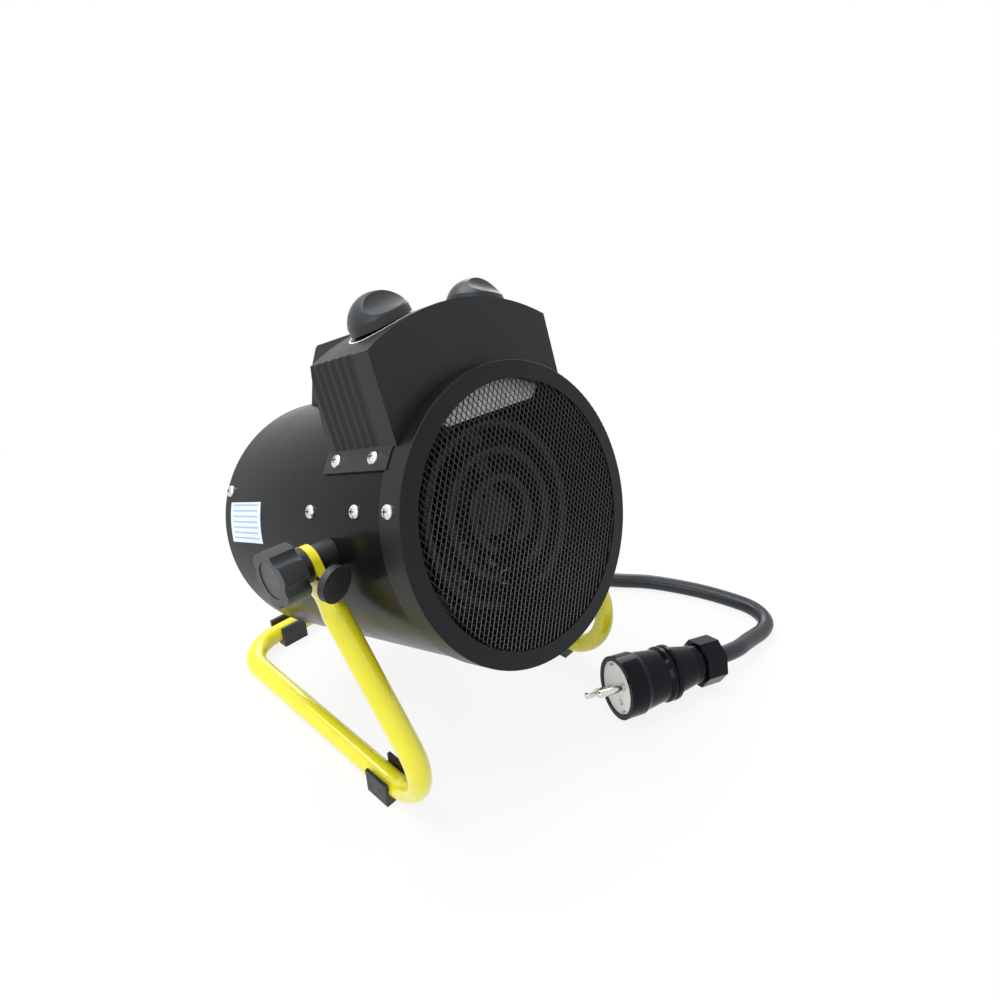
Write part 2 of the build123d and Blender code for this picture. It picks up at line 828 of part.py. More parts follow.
with BuildPart() as impeller:
    hoop(fan_middle - hub_length / 2, fan_middle + hub_length / 2, hub_radius, shaft_radius)
    for blade in range(fan_blades):
        angle = math.radians(360 / fan_blades * blade + 90)
        outwards = right * math.cos(angle) + up * math.sin(angle)
        sideways = outwards.cross(back)
        pitch = math.radians(blade_pitch)
        flat = sideways * math.cos(pitch) + back * math.sin(pitch)
        root = nose + back * fan_middle + outwards * (hub_radius - 2)
        slab(
            Plane(origin=root, x_dir=flat, z_dir=outwards),
            blade_width,
            blade_thickness,
            fan_radius - hub_radius + 2 - 1.5,
        )
    hoop(0, drum_length, drum_radius, fan_radius, mode=Mode.SUBTRACT)
    disc(across(0), shaft_radius, -drum_length, mode=Mode.SUBTRACT)
save(impeller, "impeller")

with BuildPart() as fan_shaft:
    disc(across(shaft_front), shaft_radius, shaft_front - shaft_back)
save(fan_shaft, "fan_shaft")

with BuildPart() as motor_rotor:
    hoop(stator_front, stator_back, rotor_radius, shaft_radius)
save(motor_rotor, "motor_rotor")

with BuildPart() as impeller_nut:
    nut_depth = fan_middle - hub_length / 2
    with BuildSketch(across(nut_depth - 3)):
        RegularPolygon(4.5, 6)
        Circle(shaft_radius, mode=Mode.SUBTRACT)
    extrude(amount=-3)
save(impeller_nut, "impeller_nut")

# ---------------------------------------------------------------- pivots

pivot_axis = Axis((0, pivot_y, pivot_z), (1, 0, 0))


def beside(x, side):
    """The plane square to the pivot's axis, this far out on one side, facing out."""
    return Plane(origin=(side * x, pivot_y, pivot_z), x_dir=(0, -side, 0), z_dir=(side, 0, 0))


bolt_seat = drum_radius - 3.8
eye_inside = pivot_half - eye_thickness / 2
eye_outside = pivot_half + eye_thickness / 2
with BuildPart() as pivot_backings:
    for side in (-1, 1):
        slab(beside(box_half, side), backing_size, backing_size, drum_radius)
    hoop(0, drum_length, drum_radius * 2.5, drum_radius - sheet - slip, mode=Mode.SUBTRACT)
    hoop(0, drum_length, inner_radius + 2, 0.01, mode=Mode.SUBTRACT)
    for side in (-1, 1):
        disc(beside(box_half, side), bolt_radius + slip, drum_radius, mode=Mode.SUBTRACT)
        disc(beside(box_half, side), bolt_head_radius + slip, bolt_seat - box_half, mode=Mode.SUBTRACT)
save(pivot_backings, "pivot_backings")

with BuildPart() as pivot_bolts:
    for side in (-1, 1):
        disc(beside(bolt_seat - bolt_head, side), bolt_head_radius, bolt_head)
        disc(beside(bolt_seat, side), bolt_radius, bolt_reach - bolt_seat)
save(pivot_bolts, "pivot_bolts")

with BuildPart() as pivot_spacers:
    for side in (-1, 1):
        disc(beside(box_half, side), spacer_radius, eye_inside - seat_gap - box_half)
    disc(across(-1), drum_radius + slip, -drum_length, mode=Mode.SUBTRACT)
    for side in (-1, 1):
        disc(beside(box_half, side), bolt_radius + slip, pivot_half, mode=Mode.SUBTRACT)
save(pivot_spacers, "pivot_spacers")

knob_inside = eye_outside + seat_gap
knob_outside = knob_inside + collar_length + knob_length
for side, name in ((-1, "left"), (1, "right")):
    with BuildPart() as tilt_knob:
        disc(beside(knob_inside, side), collar_radius, collar_length)
        with BuildSketch(beside(knob_inside + collar_length, side)):
            Circle(knob_radius)
            with PolarLocations(knob_radius + knob_dent * 0.6, 6):
                Circle(knob_dent, mode=Mode.SUBTRACT)
        extrude(amount=knob_length)
        disc(beside(knob_outside - knob_cap_depth - 0.5, side), knob_cap_radius + slip, 10, mode=Mode.SUBTRACT)
        disc(beside(knob_inside, side), insert_radius, bolt_reach + 0.6 - knob_inside, mode=Mode.SUBTRACT)
    save(tilt_knob, f"tilt_knob_{name}")
    with BuildPart() as knob_insert:
        disc(beside(knob_inside, side), insert_radius, bolt_reach + 0.6 - knob_inside)
        disc(beside(knob_inside, side), bolt_radius + bolt_fit, 40, mode=Mode.SUBTRACT)
    save(knob_insert, f"knob_insert_{name}")
    with BuildPart() as knob_cap:
        disc(beside(knob_outside - knob_cap_depth - 0.5, side), knob_cap_radius, knob_cap_depth)
    save(knob_cap, f"knob_cap_{name}")

# ---------------------------------------------------------------- stand

arm_down = Vector(0, -pivot_back, -pivot_rise).normalized()
arm_front = Vector(0, -pivot_rise, pivot_back).normalized()


def pivot_point(side):
    return Vector(side * pivot_half, pivot_y, pivot_z)


def front_corner(side):
    return Vector(side * base_half, corner_y, rail_height)


def rear_corner(side):
    return Vector(side * bar_half, bar_y, rail_height)


def neck(side):
    return pivot_point(side) + (front_corner(side) - pivot_point(side)).normalized() * eye_neck


with BuildPart() as stand_frame:
    with BuildLine() as stand_line:
        FilletPolyline(
            neck(-1),
            front_corner(-1),
            rear_corner(-1),
            rear_corner(1),
            front_corner(1),
            neck(1),
            radius=[hairpin_radius, corner_radius, corner_radius, hairpin_radius],
        )
    with BuildSketch(Plane(origin=stand_line.line @ 0, z_dir=stand_line.line % 0)):
        Circle(tube_radius)
        Circle(tube_radius - tube_wall, mode=Mode.SUBTRACT)
    sweep(path=stand_line.line)
    for side in (-1, 1):
        slope = (front_corner(side) - pivot_point(side)).normalized()
        with BuildSketch(Plane(origin=neck(side), x_dir=arm_front, z_dir=slope)):
            Circle(tube_radius)
        with BuildSketch(Plane(origin=pivot_point(side) + arm_down * eye_flat, x_dir=arm_front, z_dir=arm_down)):
            Rectangle(2 * eye_radius, eye_thickness)
        loft()
        with BuildSketch(Plane(origin=pivot_point(side), x_dir=arm_front, z_dir=(1, 0, 0))):
            Circle(eye_radius)
            with Locations((0, eye_flat / 2)):
                Rectangle(2 * eye_radius, eye_flat)
        extrude(amount=eye_thickness / 2, both=True)
        disc(beside(eye_inside - 5, side), bolt_radius + bolt_fit, 20, mode=Mode.SUBTRACT)
    vent = Plane(origin=(0, bar_y, rail_height), z_dir=(0, 0, -1))
    disc(vent, 1.5, tube_radius + 1, mode=Mode.SUBTRACT)
    buffer_middle = (
        pivot_point(-1) + Vector(pivot_half - buffer_side, 0, 0)
        + arm_down * buffer_down + arm_front * buffer_front
    )
    buffer_out = buffer_facing.normalized()
    stem_plane = Plane(origin=buffer_middle, z_dir=buffer_out * -1)
    stem_length = (buffer_front - eye_radius) / buffer_out.dot(arm_front) + 3
    disc(stem_plane, buffer_stem + slip, stem_length + slip, mode=Mode.SUBTRACT)
save(stand_frame, "stand_frame")

with BuildPart() as arm_buffer:
    disc(stem_plane.offset(-buffer_thickness / 2), buffer_radius, buffer_thickness)
    disc(stem_plane, buffer_stem, stem_length)
save(arm_buffer, "arm_buffer")

with BuildPart() as foot_clips:
    clip_places = []
    for side in (-1, 1):
        rail = (rear_corner(side) - front_corner(side)).normalized()
        clip_places.append(Plane(origin=front_corner(side) + rail * (rail_clip_back - clip_length / 2),
                                 x_dir=Vector(0, 0, 1).cross(rail), z_dir=rail))
        clip_places.append(Plane(origin=(side * bar_clip_side - clip_length / 2, bar_y, rail_height),
                                 x_dir=(0, 1, 0), z_dir=(1, 0, 0)))
    for place in clip_places:
        with BuildSketch(place):
            with Locations((0, clip_height / 2 - rail_height)):
                Rectangle(2 * rail_height, clip_height)
            Circle(tube_radius + slip, mode=Mode.SUBTRACT)
            with Locations((0, rail_height)):
                Rectangle(2 * (tube_radius + slip), 2 * rail_height, mode=Mode.SUBTRACT)
        extrude(amount=clip_length)
save(foot_clips, "foot_clips")

# ---------------------------------------------------------------- plug

plug_front = Vector(base_half, corner_y, 0) + plug_face
plug_back = Vector(1, 0, 0).rotate(Axis.Y, plug_dip).rotate(Axis.Z, plug_turn)
plug_depth = plug_profile[-1][0]


plug_side = plug_back.cross(Vector(0, 0, -1)).normalized()
plug_across = plug_side.rotate(Axis((0, 0, 0), plug_back), -plug_roll)


def plug_plane(reach):
    """The plane square to the plug, this far behind its face, facing back along it."""
    return Plane(origin=plug_front + plug_back * reach, x_dir=plug_across, z_dir=plug_back)


with BuildPart() as plug_body:
    with BuildSketch(Plane(origin=plug_front, x_dir=plug_back, z_dir=plug_back.cross(Vector(0, 0, 1)))):
        with BuildLine():
            Polyline((plug_depth, 0), (0, 0), *plug_profile, close=True)
        make_face()
    revolve(axis=Axis(plug_front, plug_back))
    disc(plug_plane(0), insert_face_radius + slip, insert_depth + insert_recess, mode=Mode.SUBTRACT)
save(plug_body, "plug_body")

pin_places = [(-pin_spacing / 2, 0), (pin_spacing / 2, 0)]
with BuildPart() as plug_insert:
    with BuildSketch(plug_plane(insert_recess)):
        Circle(insert_face_radius)
        with Locations(*pin_places):
            Circle(pin_root + slip, mode=Mode.SUBTRACT)
        for side in (-1, 1):
            with Locations((0, side * insert_face_radius)):
                Rectangle(6, 6, mode=Mode.SUBTRACT)
    extrude(amount=insert_depth)
    with BuildSketch(plug_plane(insert_recess)):
        with Locations((0, -insert_face_radius * 0.52)):
            Circle(earth_radius)
    extrude(amount=insert_depth * 0.8, mode=Mode.SUBTRACT)
save(plug_insert, "plug_insert")

with BuildPart() as plug_pins:
    pin_seat = insert_recess - seat_gap
    with BuildSketch(plug_plane(pin_seat)):
        with Locations(*pin_places):
            Circle(pin_diameter / 2)
    extrude(amount=-pin_reach)
    fillet(plug_pins.faces().sort_by(Axis(plug_front, plug_back))[:2].edges(), pin_tip)
    with BuildSketch(plug_plane(insert_recess + insert_depth)):
        with Locations(*pin_places):
            Circle(pin_root)
    extrude(amount=pin_seat - insert_recess - insert_depth)
save(plug_pins, "plug_pins")

with BuildPart() as plug_earth_clips:
    for side in (-1, 1):
        with BuildSketch(plug_plane(insert_recess + 0.5)):
            with Locations((0, side * (insert_face_radius - 0.8))):
                Rectangle(5, 1)
        extrude(amount=insert_depth - 0.5)
save(plug_earth_clips, "plug_earth_clips")

with BuildPart() as plug_gland_nut:
    with BuildSketch(plug_plane(plug_depth)):
        RegularPolygon(plug_nut_radius, 8, major_radius=True)
    extrude(amount=plug_nut)
save(plug_gland_nut, "plug_gland_nut")

# ---------------------------------------------------------------- cable

sleeve_exit = box_rear(sleeve_side, sleeve_height, sleeve_length)
with BuildPart() as cable_sleeve:
    disc(box_rear(sleeve_side, sleeve_height, -sleeve_inside), sleeve_root, sleeve_inside)
    disc(box_rear(sleeve_side, sleeve_height, -box_wall), sleeve_flange, -1.5)
    disc(box_rear(sleeve_side, sleeve_height), sleeve_flange, 1.5)
    with BuildSketch(box_rear(sleeve_side, sleeve_height)):
        Circle(sleeve_root)
    with BuildSketch(sleeve_exit):
        Circle(sleeve_tip)
    loft()
save(cable_sleeve, "cable_sleeve")


def route(points):
    """A path of straight runs and tangent arcs, and the radii of its arcs."""
    points = [Vector(*point) for point in points]
    radii = []
    for before, corner, after in zip(points, points[1:], points[2:]):
        arriving, leaving = corner - before, after - corner
        turn = math.radians(arriving.get_angle(leaving))
        radii.append(0.45 * min(arriving.length, leaving.length) / math.tan(turn / 2))
    return points, radii


def cable(points, name):
    """A stretch of the cable along a route."""
    points, radii = route(points)
    with BuildPart() as stretch:
        with BuildLine() as line:
            FilletPolyline(*points, radius=radii)
        path = line.wire()
        with BuildSketch(Plane(origin=path @ 0, z_dir=path % 0)):
            Circle(cord_radius)
        sweep(path=path)
    area = math.pi * cord_radius**2
    print(name, "radii", [round(radius) for radius in radii], "length", round(path.length, 1),
          "volume over section", round(stretch.part.volume / area, 1))
    save(stretch, name)
    return path


landing = math.radians(landing_angle)
cord_diameter = 2 * cord_radius
landing_way = Vector(0, math.cos(landing), -math.sin(landing))
coil_start_z = cord_radius + cord_diameter * math.sin(landing) + landing_radius * (1 - math.cos(landing))
coil_start_y = pivot_y + (pivot_z - coil_start_z) / math.tan(landing)
coil_start = Vector(coil_side, coil_start_y, coil_start_z)
coil_y = coil_start_y + cord_diameter * math.cos(landing) + landing_radius * math.sin(landing)

exit_point = sleeve_exit.origin
first_point = exit_point + lean_out * first_run
last_point = coil_start - landing_way * last_run
rear_route = [
    exit_point,
    first_point,
    first_point + Vector(11, 59, -44),
    last_point + Vector(-2, -14, 63),
    last_point,
    coil_start - landing_way * 0.1,
]
rear_line = cable(rear_route, "supply_cable_rear")

with BuildPart() as cable_coil:
    with BuildLine() as coil_line:
        arc_start = coil_start + landing_way * cord_diameter
        Line(coil_start, arc_start)
        arc_end = Vector(coil_side, coil_y, cord_radius)
        arc_middle = arc_end + Vector(
            0, -landing_radius * math.sin(landing / 2), landing_radius * (1 - math.cos(landing / 2))
        )
        ThreePointArc(arc_start, arc_middle, arc_end)
        edge_x = coil_side
        way = 1
        for radius in coil_radii:
            here = Vector(edge_x, coil_y, cord_radius)
            there = here + Vector(way * 2 * radius, 0, 0)
            ThreePointArc(here, (here + there) / 2 + Vector(0, way * radius, 0), there)
            edge_x = there.X
            way = -way
        coil_end = Vector(edge_x, coil_y - cord_diameter, cord_radius)
        Line(Vector(edge_x, coil_y, cord_radius), coil_end)
    with BuildSketch(Plane(origin=coil_start, z_dir=landing_way)):
        Circle(cord_radius)
    coil_path = coil_line.wire()
    sweep(path=coil_path)
save(cable_coil, "cable_coil")
samples = [coil_path @ (step / 600) for step in range(601)]
per_step = coil_path.length / 600
near = min(
    (samples[i] - samples[j]).length
    for i in range(601)
    for j in range(i + math.ceil(6 * cord_radius / per_step), 601)
)
print("coil length", round(coil_path.length, 1), "volume over section",
      round(cable_coil.part.volume / (math.pi * cord_radius**2), 1),
      "least gap to itself", round(near - cord_diameter, 2))

plug_end = plug_front + plug_back * (plug_depth + plug_nut)
corner = Vector(base_half, corner_y, 0)
floor_route = (
    (111.8, 293, 6),
    (92, 223, 6),
    (72, 168, 6),
    (68, 123, 6),
    (78, 93, 6),
    (92, 70, 6),
    (106, 52, 6),
    (116, 30.6, 6),
    (124, 8, 6),
    (129, -15.4, 6),
    (131, -36.9, 6),
    (122, -51.9, 6),
    (108, -55.4, 6),
    (82, -52.4, 11),
)
front_route = (
    [coil_end]
    + [corner + Vector(x, y, z - 6 + cord_radius) for x, y, z in floor_route]
    + [plug_end + plug_back * 20, plug_end]
)
front_line = cable(front_route, "supply_cable_front")
print("net openings", len(net_cells))
print("cable length", round(rear_line.length + coil_path.length + front_line.length, 1))

# ---------------------------------------------------------------- wiring

core = 1.1
block_back = knob_place + 12
with BuildPart() as wiring:
    for place in (-1, 0, 1):
        start = box_rear(sleeve_side, sleeve_height + 3 * place, -sleeve_inside - 0.1).origin
        points = [
            start,
            start - lean_out * 6,
            spot(6 * place, block_back + 5, sleeve_height + 3 * place),
            spot(6 * place, block_back + 0.1, sleeve_height + 3 * place),
        ]
        with BuildLine() as core_line:
            FilletPolyline(*points, radius=1.8)
        with BuildSketch(Plane(origin=core_line.line @ 0, z_dir=core_line.line % 0)):
            Circle(core)
        sweep(path=core_line.line)
save(wiring, "wiring")

places = {
    "pivot": (0, pivot_y, pivot_z),
    "selector": crown(-1).origin,
    "selector way": crown(-1).z_dir,
    "thermostat": crown(1).origin,
    "thermostat way": crown(1).z_dir,
    "fan": spot(0, fan_middle, 0),
    "fan way": back,
    "plug face": plug_front,
    "plug way": plug_back,
    "cable exit": exit_point,
}
for name, place in places.items():
    print(name, [round(value, 4) for value in Vector(*place)])
print("route", [[round(value, 1) for value in Vector(*point)] for point in rear_route + front_route])
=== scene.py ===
# %% [markdown]
# # A portable forced air heater, dressed for the camera
# The heater is a black steel drum that tilts in a yellow tube stand, with a control box
# and a carrying handle on top and a thick rubber cable on the floor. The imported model
# gives every rigid part its place and its shape. This lesson adds the soft cable, the
# fine mesh, the printed rings and the small mouldings, and gives each part its finish.
# Everything is in metres, with +Z up and the air leaving towards -Y.

import bmesh
import bpy
import math
from mathutils import Matrix, Vector


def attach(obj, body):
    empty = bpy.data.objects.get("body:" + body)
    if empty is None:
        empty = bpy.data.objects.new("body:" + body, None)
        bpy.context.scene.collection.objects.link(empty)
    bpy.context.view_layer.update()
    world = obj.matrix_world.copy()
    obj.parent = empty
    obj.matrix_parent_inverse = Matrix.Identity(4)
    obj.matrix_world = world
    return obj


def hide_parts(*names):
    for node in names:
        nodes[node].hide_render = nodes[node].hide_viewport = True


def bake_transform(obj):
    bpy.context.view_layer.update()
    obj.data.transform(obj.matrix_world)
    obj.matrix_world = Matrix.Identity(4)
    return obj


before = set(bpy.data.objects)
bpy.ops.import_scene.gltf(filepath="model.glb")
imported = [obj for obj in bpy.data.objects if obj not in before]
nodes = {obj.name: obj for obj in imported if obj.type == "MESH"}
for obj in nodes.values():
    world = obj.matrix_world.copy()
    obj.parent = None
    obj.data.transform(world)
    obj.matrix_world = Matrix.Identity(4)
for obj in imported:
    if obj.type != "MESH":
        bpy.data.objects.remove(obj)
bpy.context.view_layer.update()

# %% [markdown]
# ## The drum's own directions
# The drum leans back by 19 degrees in its stand. Most pieces are easier to model in the
# drum's own measure: across, behind its nose and above its axis. The matrix below turns
# such a place into one on the floor, so a piece can be built upright and then put in place.

# %% The drum's frame
MM = 0.001
LEAN = math.radians(19.0)
ACROSS = Vector((1, 0, 0))
BEHIND = Vector((0, math.cos(LEAN), -math.sin(LEAN)))
ABOVE = Vector((0, math.sin(LEAN), math.cos(LEAN)))
PIVOT = Vector((0, -0.0306412, 0.1475))
NOSE = PIVOT - BEHIND * 0.0642 - ABOVE * 0.0087


def placing(origin, x_way, y_way):
    """The matrix that puts a piece built around zero at a place, with two of its axes given."""
    z_way = x_way.cross(y_way)
    turn = Matrix((x_way, y_way, z_way)).transposed().to_4x4()
    return Matrix.Translation(origin) @ turn


def in_drum(x, depth, height):
    """A point across the drum, behind its nose and above its axis, in millimetres."""
    return NOSE + (ACROSS * x + BEHIND * depth + ABOVE * height) * MM


print("nose", [round(value, 4) for value in NOSE])

# %% [markdown]
# ## Camera
# The photograph looks down at the heater from its left front corner, from about half a
# metre away. The numbers are the camera's place and the directions of its picture edges.
# A small shift keeps the object left of the middle, as the photograph's crop has it.

# %% Camera
camera_data = bpy.data.cameras.new("photo_camera")
camera_data.lens = 22.94
camera_data.sensor_width = 36.0
camera_data.shift_x = -0.0727
camera_data.shift_y = -0.0136
camera_data.clip_start = 0.01
camera = bpy.data.objects.new("photo_camera", camera_data)
bpy.context.scene.collection.objects.link(camera)
looking = Vector((0.7172, 0.5445, -0.4349)).normalized()
roll = Vector((0.614, -0.7889, 0.0249))
sideways = (roll - looking * roll.dot(looking)).normalized()
camera.matrix_world = placing(Vector((-0.2204, -0.2877, 0.3178)), sideways, sideways.cross(looking))
bpy.context.scene.camera = camera
bpy.context.scene.view_settings.view_transform = "Standard"
print("camera", [round(value, 3) for value in camera.location])

# %% [markdown]
# ## Supply cable
# A heavy rubber lead, 12 mm thick and about 1.5 m long. It leaves the sleeve on the back
# of the control box, bends down behind the drum and lies on the floor. The part that the
# photograph doesn't show is wound into one loose coil behind the stand, and from there
# the lead comes forward on the right and turns back into its plug. One smooth spline is
# drawn through that whole route. The coil is three half turns that widen, so that the
# turns lie beside each other.

# %% Cable route
CORD_RADIUS = 0.006
SLEEVE_EXIT = Vector((0.038, 0.0192361, 0.2171839))
REAR = [
    SLEEVE_EXIT,
    (0.038, 0.0688, 0.2107),
    (0.049, 0.1278, 0.1667),
    (0.053, 0.1561, 0.1082),
    (0.055, 0.1701, 0.0452),
    (0.055, 0.2235, 0.0180),
    (0.055, 0.2440, 0.0085),
]
COIL_MIDDLE_Y = 0.2615
HALF_TURNS = ((0.117, 0.062, 1), (0.105, 0.074, -1), (0.1114, 0.0804, 1))
COIL_STEPS = 7
FRONT = [
    (0.1918, 0.1808, 0.006),
    (0.1720, 0.1108, 0.006),
    (0.1520, 0.0558, 0.006),
    (0.1480, 0.0108, 0.006),
    (0.1580, -0.0192, 0.006),
    (0.1720, -0.0422, 0.006),
    (0.1860, -0.0602, 0.006),
    (0.1960, -0.0816, 0.006),
    (0.2040, -0.1042, 0.006),
    (0.2090, -0.1276, 0.006),
    (0.2110, -0.1491, 0.006),
    (0.2020, -0.1641, 0.006),
    (0.1880, -0.1676, 0.006),
    (0.1620, -0.1646, 0.011),
    (0.1405, -0.1643, 0.0153),
    (0.1224, -0.1559, 0.0165),
]

coil = []
for middle_x, radius, way in HALF_TURNS:
    outside = radius / math.cos(math.pi / (2 * COIL_STEPS))
    for step in range(COIL_STEPS):
        angle = math.pi * (step + 0.5) / COIL_STEPS
        coil.append((middle_x - way * outside * math.cos(angle),
                     COIL_MIDDLE_Y + way * outside * math.sin(angle), CORD_RADIUS))

route = bpy.data.curves.new("cable_route", "CURVE")
route.dimensions = "3D"
spline = route.splines.new("NURBS")
stops = [Vector(point) for point in REAR + coil + FRONT]
spline.points.add(len(stops) - 1)
for place, stop in zip(spline.points, stops):
    place.co = (*stop, 1.0)
spline.order_u = 3
spline.use_endpoint_u = True
route.resolution_u = 10
route_object = bpy.data.objects.new("cable_route", route)
bpy.context.scene.collection.objects.link(route_object)


def as_mesh(thing, name):
    """A mesh with the shape that a curve has now."""
    bpy.context.view_layer.update()
    evaluated = thing.evaluated_get(bpy.context.evaluated_depsgraph_get())
    mesh = bpy.data.meshes.new_from_object(evaluated)
    mesh.name = name
    return mesh


line = as_mesh(route_object, "cable_line")

# %% Cable tube
route.bevel_depth = CORD_RADIUS
route.bevel_resolution = 6
route.use_fill_caps = True
cable = bpy.data.objects.new("supply_cable", as_mesh(route_object, "supply_cable"))
bpy.context.scene.collection.objects.link(cable)
bpy.data.objects.remove(route_object)
for face in cable.data.polygons:
    face.use_smooth = True
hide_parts("supply_cable_rear", "cable_coil", "supply_cable_front")
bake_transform(cable)
print("cable faces", len(cable.data.polygons))

# %% [markdown]
# ## Finishes
# A finish is a small node tree. Two soft noise patterns on the piece's own coordinates
# shift its colour and its gloss a little, and a fine one makes the surface's grain. Paint
# gets a fine orange peel, moulded plastic a coarser spark-eroded grain, and rubber a dull
# bloom. Reflections on anything that isn't metal are a little cool, as in the photograph.
# What is the same all over a piece stays on the shader itself.

# %% A finish from noise
def link(tree, start, end):
    tree.links.new(start, end)


def pattern(tree, size, detail=3.0, stretch=(1, 1, 1)):
    """A noise pattern whose features are about size metres wide."""
    where = tree.nodes.new("ShaderNodeTexCoord")
    turn = tree.nodes.new("ShaderNodeMapping")
    turn.inputs["Scale"].default_value = stretch
    noise = tree.nodes.new("ShaderNodeTexNoise")
    noise.inputs["Scale"].default_value = 1.0 / size
    noise.inputs["Detail"].default_value = detail
    link(tree, where.outputs["Object"], turn.inputs["Vector"])
    link(tree, turn.outputs["Vector"], noise.inputs["Vector"])
    return noise.outputs["Fac"]


def spread(tree, value, low, high, start=0.3, end=0.7):
    """The pattern's middle range stretched between two values."""
    ranged = tree.nodes.new("ShaderNodeMapRange")
    for name, number in (("From Min", start), ("From Max", end), ("To Min", low), ("To Max", high)):
        ranged.inputs[name].default_value = number
    link(tree, value, ranged.inputs["Value"])
    return ranged.outputs["Result"]


def tint(tree, value, dark, light):
    """A colour between two, led by a pattern."""
    ramp = tree.nodes.new("ShaderNodeValToRGB")
    ramp.color_ramp.elements[0].position = 0.3
    ramp.color_ramp.elements[1].position = 0.7
    ramp.color_ramp.elements[0].color = (*dark, 1)
    ramp.color_ramp.elements[1].color = (*light, 1)
    link(tree, value, ramp.inputs["Fac"])
    return ramp.outputs["Color"]


def finish(name, dark, light, gloss, cloud=0.03, grain=0.0006, relief=0.00001, metal=0.0,
           coat=0.0, reflect=0.5, stretch=(1, 1, 1)):
    """A finish: two near colours, a range of roughness and a fine grain."""
    material = bpy.data.materials.new(name)
    material.use_nodes = True
    tree = material.node_tree
    shader = tree.nodes["Principled BSDF"]
    shader.inputs["Metallic"].default_value = metal
    shader.inputs["Coat Weight"].default_value = coat
    shader.inputs["Coat Roughness"].default_value = 0.08
    shader.inputs["Specular IOR Level"].default_value = reflect
    if not metal:
        shader.inputs["Specular Tint"].default_value = (0.86, 0.94, 1.0, 1)
    clouds = pattern(tree, cloud, stretch=stretch)
    link(tree, tint(tree, clouds, dark, light), shader.inputs["Base Color"])
    smudge = pattern(tree, cloud * 0.45, 5.0, stretch)
    link(tree, spread(tree, smudge, *gloss), shader.inputs["Roughness"])
    bump = tree.nodes.new("ShaderNodeBump")
    bump.inputs["Strength"].default_value = 1.0
    bump.inputs["Distance"].default_value = relief
    link(tree, pattern(tree, grain, 2.0, stretch), bump.inputs["Height"])
    link(tree, bump.outputs["Normal"], shader.inputs["Normal"])
    return material


def wear(part, material):
    """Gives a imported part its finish."""
    nodes[part].data.materials.clear()
    nodes[part].data.materials.append(material)


# %% [markdown]
# ## Paints, plastics and metals
# The drum and its front ring have a satin black powder coat, the stand a glossy yellow
# one. The control box, handle and knobs are black plastic, a little greyer than the
# paint. Screws are bright zinc, the plug is glossy moulded rubber with a white face.

# %% The finishes
drum_paint = finish("drum_paint", (0.0045, 0.0047, 0.005), (0.007, 0.0073, 0.0077), (0.22, 0.28),
                    cloud=0.05, grain=0.0011, relief=0.000004, reflect=0.08)
ring_paint = finish("ring_paint", (0.006, 0.0062, 0.0066), (0.009, 0.0093, 0.0097), (0.34, 0.40),
                    cloud=0.05, grain=0.0009, relief=0.000006, reflect=0.21)
mesh_paint = finish("mesh_paint", (0.014, 0.014, 0.015), (0.022, 0.022, 0.023), (0.18, 0.26),
                    cloud=0.02, grain=0.0016, relief=0.00006, reflect=0.5)
box_plastic = finish("box_plastic", (0.0085, 0.0088, 0.0092), (0.012, 0.0124, 0.013), (0.40, 0.48),
                     cloud=0.04, grain=0.0004, relief=0.00001, reflect=0.32)
knob_plastic = finish("knob_plastic", (0.012, 0.0125, 0.0135), (0.017, 0.0175, 0.019), (0.36, 0.44),
                      cloud=0.02, grain=0.0004, relief=0.00001)
cap_plastic = finish("cap_plastic", (0.045, 0.047, 0.049), (0.065, 0.067, 0.069), (0.38, 0.48),
                     cloud=0.01, grain=0.0005, relief=0.00001, reflect=0.35)
yellow_paint = finish("yellow_paint", (0.82, 0.76, 0.016), (0.87, 0.82, 0.030), (0.16, 0.24),
                      cloud=0.04, grain=0.0014, relief=0.000014, coat=0.5)
clip_rubber = finish("clip_rubber", (0.012, 0.012, 0.013), (0.024, 0.024, 0.025), (0.42, 0.60),
                     cloud=0.01, grain=0.0005, relief=0.00002)
cable_rubber = finish("cable_rubber", (0.011, 0.012, 0.015), (0.019, 0.020, 0.024), (0.28, 0.38),
                      cloud=0.012, grain=0.0006, relief=0.00001, reflect=0.45)
plug_rubber = finish("plug_rubber", (0.003, 0.003, 0.005), (0.005, 0.005, 0.008), (0.09, 0.14),
                     cloud=0.012, grain=0.0007, relief=0.000002, reflect=0.13)
zinc = finish("zinc", (0.62, 0.64, 0.66), (0.80, 0.82, 0.84), (0.16, 0.30), cloud=0.003,
              grain=0.0005, relief=0.000006, metal=1.0)
bright_steel = finish("bright_steel", (0.50, 0.51, 0.52), (0.62, 0.63, 0.64), (0.24, 0.36),
                      cloud=0.02, grain=0.0004, relief=0.000004, metal=1.0, stretch=(1, 1, 6))
shell_steel = finish("shell_steel", (0.50, 0.51, 0.53), (0.66, 0.67, 0.69), (0.46, 0.58),
                     cloud=0.008, grain=0.0004, relief=0.000004, metal=0.6)
element_steel = finish("element_steel", (0.016, 0.015, 0.015), (0.030, 0.028, 0.027), (0.40, 0.5),
                       cloud=0.006, grain=0.0005, relief=0.00001, metal=0.6)
core_steel = finish("core_steel", (0.10, 0.10, 0.11), (0.17, 0.17, 0.18), (0.45, 0.6),
                    cloud=0.01, grain=0.0005, relief=0.00002, metal=0.8)
coil_tape = finish("coil_tape", (0.36, 0.22, 0.05), (0.50, 0.34, 0.10), (0.4, 0.6),
                   cloud=0.006, grain=0.0008, relief=0.00004)
brass = finish("brass", (0.62, 0.44, 0.16), (0.74, 0.56, 0.24), (0.22, 0.36), cloud=0.004,
               grain=0.0004, relief=0.000004, metal=1.0)
